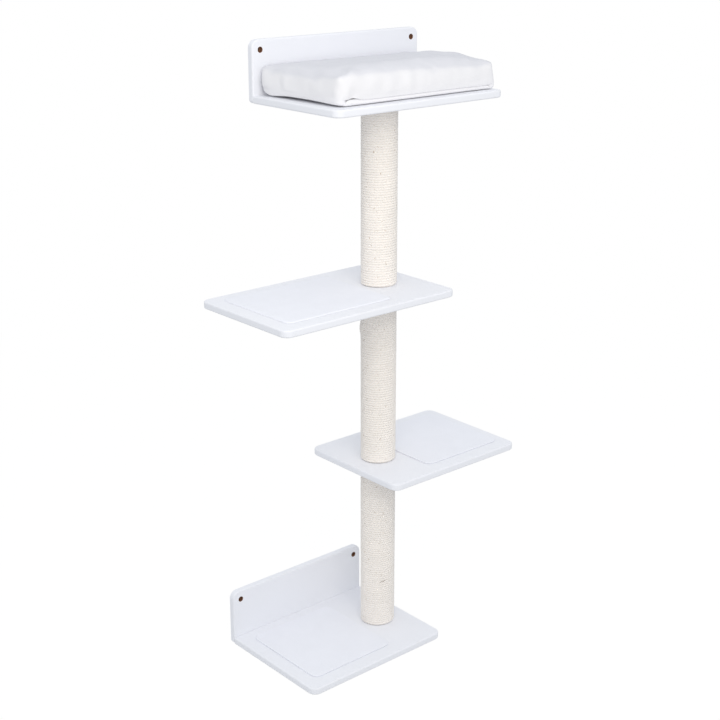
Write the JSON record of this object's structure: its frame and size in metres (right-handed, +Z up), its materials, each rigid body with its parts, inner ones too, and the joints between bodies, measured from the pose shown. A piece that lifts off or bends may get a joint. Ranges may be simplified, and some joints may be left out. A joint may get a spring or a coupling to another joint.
{
  "type": "wall cat scratcher",
  "caption": "Tall cat scratching post for a wall: rope-wound posts carry offset platforms with pads and a cushioned top shelf, and upright panels take the wall screws.",
  "frame": {"origin": "on the floor, under the middle of the object's bounding box", "axes": "+Z up along the posts, +X to the right along the wall, +Y towards the wall behind the panels"},
  "size_m": [0.765, 0.3482, 1.552],
  "materials": {
    "white_board": "satin white paint on fibreboard",
    "sisal_rope": "pale twisted sisal rope",
    "pad_felt": "white short-pile felt",
    "cushion_cover": "white woven cotton",
    "zip_tape": "white woven tape with nylon teeth",
    "zip_metal": "grey cast metal",
    "cardboard": "raw wound cardboard",
    "plug_wood": "raw wood",
    "zinc_steel": "zinc plated"
  },
  "bodies": {
    "tower": {"base_plate": "white_board", "lower_platform": "white_board", "middle_platform": "white_board", "top_shelf": "white_board", "base_wall_panel": "white_board", "top_wall_panel": "white_board", "lower_post_tube": "cardboard", "lower_post_rope": "sisal_rope", "lower_post_foot_plug": "plug_wood", "lower_post_head_plug": "plug_wood", "lower_post_foot_nut": "zinc_steel", "lower_post_head_nut": "zinc_steel", "middle_post_tube": "cardboard", "middle_post_rope": "sisal_rope", "middle_post_foot_plug": "plug_wood", "middle_post_head_plug": "plug_wood", "middle_post_foot_nut": "zinc_steel", "middle_post_head_nut": "zinc_steel", "upper_post_tube": "cardboard", "upper_post_rope": "sisal_rope", "upper_post_foot_plug": "plug_wood", "upper_post_head_plug": "plug_wood", "upper_post_foot_nut": "zinc_steel", "upper_post_head_nut": "zinc_steel", "base_bolt": "zinc_steel", "base_washer": "zinc_steel", "lower_stud": "zinc_steel", "upper_stud": "zinc_steel", "shelf_bolt": "zinc_steel", "shelf_washer": "zinc_steel", "base_panel_screw_left": "zinc_steel", "base_panel_screw_middle": "zinc_steel", "base_panel_screw_right": "zinc_steel", "top_panel_screw_left": "zinc_steel", "top_panel_screw_middle": "zinc_steel", "top_panel_screw_right": "zinc_steel", "base_pad": "pad_felt", "lower_pad": "pad_felt", "middle_pad": "pad_felt", "cushion": "cushion_cover", "cushion_zip_tape": "zip_tape"},
    "zip_slider": {"cushion_zip_slider": "zip_metal"}
  },
  "joints": [
    {"name": "zip_slide", "type": "slide", "parent": "tower", "child": "zip_slider", "axis": [1, 0, 0], "range_m": [0, 0.425]}
  ]
}
